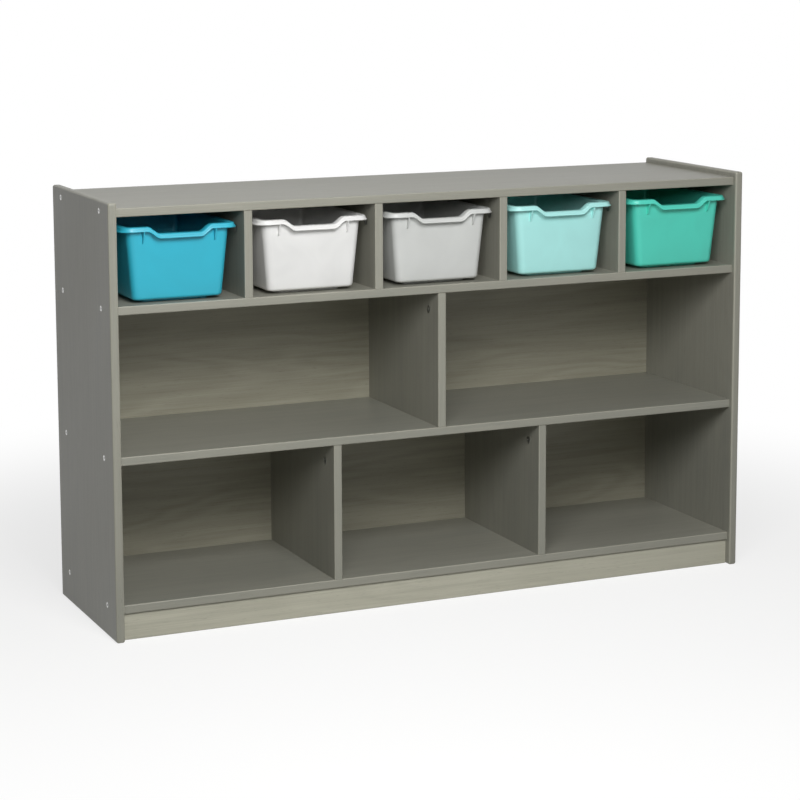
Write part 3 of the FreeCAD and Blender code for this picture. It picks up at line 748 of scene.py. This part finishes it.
class ORGANIZER_OT_mould_bins(bpy.types.Operator):
    """Model the five bins with rolled rims, scooped fronts and ribs"""
    bl_idname = "organizer.mould_bins"
    bl_label = "Mould bins"

    def execute(self, context):
        settings = context.scene.organizer_bins
        for node in BINS:
            low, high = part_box(node)
            # the scoop's lip is the front of the box, and the rest of the rim stands a little behind it
            lip = settings.rim_flare * settings.scoop / (settings.scoop + settings.rim_height)
            half_width = (high.x - low.x) / 2
            half_length = (high.y - low.y + lip) / 2
            height = high.z - low.z
            centre = Vector(((low.x + high.x) / 2, low.y + half_length, 0.0))
            bm = bmesh.new()
            add_bin_shell(bm, settings, centre, low.z, half_width, half_length, height)
            for side in (-1, 1):
                add_rib(bm, settings, centre.x + side * settings.rib_spacing / 2, low.y, low.z, height)
            for face in bm.faces:
                face.smooth = True
            for edge in bm.edges:
                edge.smooth = edge.is_manifold and edge.calc_face_angle() < BIN_CREASE
            tone = getattr(settings, node.split("_")[1])
            plastic = moulded_polypropylene("moulded_polypropylene_" + node.split("_")[1], tone)
            piece = new_piece(node + "_moulded", bm, plastic, node, node)
            soften = piece.modifiers.new("Lip", "BEVEL")
            soften.width = LIP_ROUND
            soften.segments = 2
            soften.limit_method = "ANGLE"
            soften.angle_limit = LIP_CREASE
        return {"FINISHED"}


# ---- stage -------------------------------------------------------------------------------
WHITE = (1.0, 1.0, 1.0, 1.0)
FLOOR_HALF_WIDTH = 14.0
# how bright the lamps make the matt share of the floor; its glow makes up the rest
LIT_FLOOR = 0.8
# the share of the clear floor where it begins to turn plain white
FADE_START = 0.4
LAMP_AIM = (0.0, 0.0, 0.37)
# each lamp's place, width and height in metres, and the setting that holds its power
LAMPS = {
    "key_lamp": ((-0.71, -1.52, 1.29), 0.7, 0.7, "key_power"),
    "fill_lamp": ((-0.3, -2.48, 2.15), 0.9, 0.9, "fill_power"),
    "side_lamp": ((-2.42, -2.88, 1.77), 0.9, 0.9, "side_power"),
    "top_lamp": ((-0.2, -0.4, 3.0), 2.0, 1.4, "top_power"),
}


def seen_or_lit(tree, seen, lit):
    """Show one shader to the camera and to mirror-like surfaces, and light the object by another."""
    path = add_node(tree, "LightPath")
    either = add_node(tree, "Math", {0: path.outputs["Is Camera Ray"], 1: path.outputs["Is Glossy Ray"]},
                      operation="MAXIMUM")
    any_view = add_node(tree, "Math", {0: either.outputs[0], 1: path.outputs["Is Transmission Ray"]},
                        operation="MAXIMUM")
    return add_node(tree, "MixShader", {0: any_view.outputs[0], 1: lit, 2: seen})


def soft_lamp(name, place, width, height, power):
    """A large soft lamp that faces the middle of the organizer."""
    light = bpy.data.lights.new(name, "AREA")
    light.shape = "RECTANGLE"
    light.size = width
    light.size_y = height
    light.energy = power
    lamp = bpy.data.objects.new(name, light)
    lamp.location = place
    lamp.visible_camera = False
    lamp.rotation_euler = (Vector(LAMP_AIM) - Vector(place)).to_track_quat("-Z", "Y").to_euler()
    bpy.context.scene.collection.objects.link(lamp)


class ORGANIZER_OT_set_stage(bpy.types.Operator):
    """Set the floor, the lamps, the room light and the camera"""
    bl_idname = "organizer.set_stage"
    bl_label = "Set stage"

    def execute(self, context):
        settings = context.scene.organizer_stage
        scene = context.scene
        # matt white board: the floor shows nearly white and keeps the organizer's soft shadow
        board = new_material("matt_white_board")
        tree = board.node_tree
        matt = add_node(tree, "BsdfDiffuse", {"Color": opaque(settings.floor, settings.floor_shade)})
        glow = add_node(tree, "Emission", {"Color": WHITE,
                                           "Strength": 1.0 - LIT_FLOOR * settings.floor_shade})
        bright = add_node(tree, "AddShader", {0: matt.outputs[0], 1: glow.outputs[0]})
        plain = add_node(tree, "Emission", {"Color": WHITE, "Strength": 1.0})
        place = add_node(tree, "TexCoord")
        away = add_node(tree, "VectorMath", {0: place.outputs["Object"]}, operation="LENGTH")
        fade = add_node(tree, "MapRange", {"Value": away.outputs["Value"],
                                           "From Min": FADE_START * settings.clear_floor,
                                           "From Max": settings.clear_floor},
                        interpolation_type="SMOOTHSTEP")
        seen = add_node(tree, "MixShader", {0: fade.outputs[0], 1: bright.outputs[0], 2: plain.outputs[0]})
        bounce = add_node(tree, "BsdfDiffuse", {"Color": opaque(settings.floor_bounce)})
        shown = seen_or_lit(tree, seen.outputs[0], bounce.outputs[0])
        add_node(tree, "OutputMaterial", {"Surface": shown.outputs[0]})
        bm = bmesh.new()
        bmesh.ops.create_grid(bm, x_segments=1, y_segments=1, size=FLOOR_HALF_WIDTH)
        mesh = bpy.data.meshes.new("floor")
        bm.to_mesh(mesh)
        bm.free()
        mesh.materials.append(board)
        floor = bpy.data.objects.new("floor", mesh)
        scene.collection.objects.link(floor)

        world = bpy.data.worlds.new("pale_room")
        scene.world = world
        world.use_nodes = True
        tree = world.node_tree
        tree.nodes.clear()
        white = add_node(tree, "Background", {"Color": WHITE, "Strength": 1.0})
        even = add_node(tree, "Background", {"Color": WHITE, "Strength": settings.sky})
        shown = seen_or_lit(tree, white.outputs[0], even.outputs[0])
        add_node(tree, "OutputWorld", {"Surface": shown.outputs[0]})

        for name, (place, width, height, power) in LAMPS.items():
            soft_lamp(name, place, width, height, getattr(settings, power))

        yaw, pitch, roll = settings.camera_yaw, settings.camera_pitch, settings.camera_roll
        ahead = Vector((math.sin(yaw) * math.cos(pitch), math.cos(yaw) * math.cos(pitch), math.sin(pitch)))
        level_right = Vector((math.cos(yaw), -math.sin(yaw), 0.0))
        level_up = level_right.cross(ahead)
        right = math.cos(roll) * level_right + math.sin(roll) * level_up
        up = right.cross(ahead)
        camera = bpy.data.objects.new("camera", bpy.data.cameras.new("camera"))
        camera.data.sensor_width = 36.0
        camera.data.lens = settings.camera_lens
        camera.data.shift_y = settings.camera_shift
        turned = Matrix((right, up, -ahead)).transposed().to_4x4()
        camera.matrix_world = Matrix.Translation(settings.camera_place) @ turned
        scene.collection.objects.link(camera)
        scene.camera = camera
        scene.view_settings.view_transform = "Standard"
        return {"FINISHED"}


# ---- sidebar -----------------------------------------------------------------------------
OPERATORS = (
    ORGANIZER_OT_finish_boards,
    ORGANIZER_OT_finish_fixings,
    ORGANIZER_OT_drive_screws,
    ORGANIZER_OT_mould_bins,
    ORGANIZER_OT_set_stage,
)


class ORGANIZER_PT_dresser(bpy.types.Panel):
    """Sizes, colours and steps that dress the organizer"""
    bl_idname = "ORGANIZER_PT_dresser"
    bl_label = "Toy Organizer"
    bl_space_type = "VIEW_3D"
    bl_region_type = "UI"
    bl_category = "Organizer"

    def draw(self, context):
        for operator in OPERATORS:
            self.layout.operator(operator.bl_idname)
        for group in SETTINGS:
            box = self.layout.box()
            box.label(text=group.replace("_", " ").capitalize())
            held = getattr(context.scene, group)
            for name in held.bl_rna.properties.keys():
                if name not in ("rna_type", "name"):
                    box.prop(held, name)


SETTINGS = {
    "organizer_boards": OrganizerBoardSettings,
    "organizer_fixings": OrganizerFixingSettings,
    "organizer_bins": OrganizerBinSettings,
    "organizer_stage": OrganizerStageSettings,
}


def register():
    for group, kind in SETTINGS.items():
        bpy.utils.register_class(kind)
        setattr(bpy.types.Scene, group, PointerProperty(type=kind))
    for operator in OPERATORS:
        bpy.utils.register_class(operator)
    bpy.utils.register_class(ORGANIZER_PT_dresser)


def unregister():
    bpy.utils.unregister_class(ORGANIZER_PT_dresser)
    for operator in reversed(OPERATORS):
        bpy.utils.unregister_class(operator)
    for group, kind in SETTINGS.items():
        delattr(bpy.types.Scene, group)
        bpy.utils.unregister_class(kind)


def main():
    register()
    bpy.ops.organizer.finish_boards()
    bpy.ops.organizer.finish_fixings()
    bpy.ops.organizer.drive_screws()
    bpy.ops.organizer.mould_bins()
    bpy.ops.organizer.set_stage()


if __name__ == "__main__":
    main()
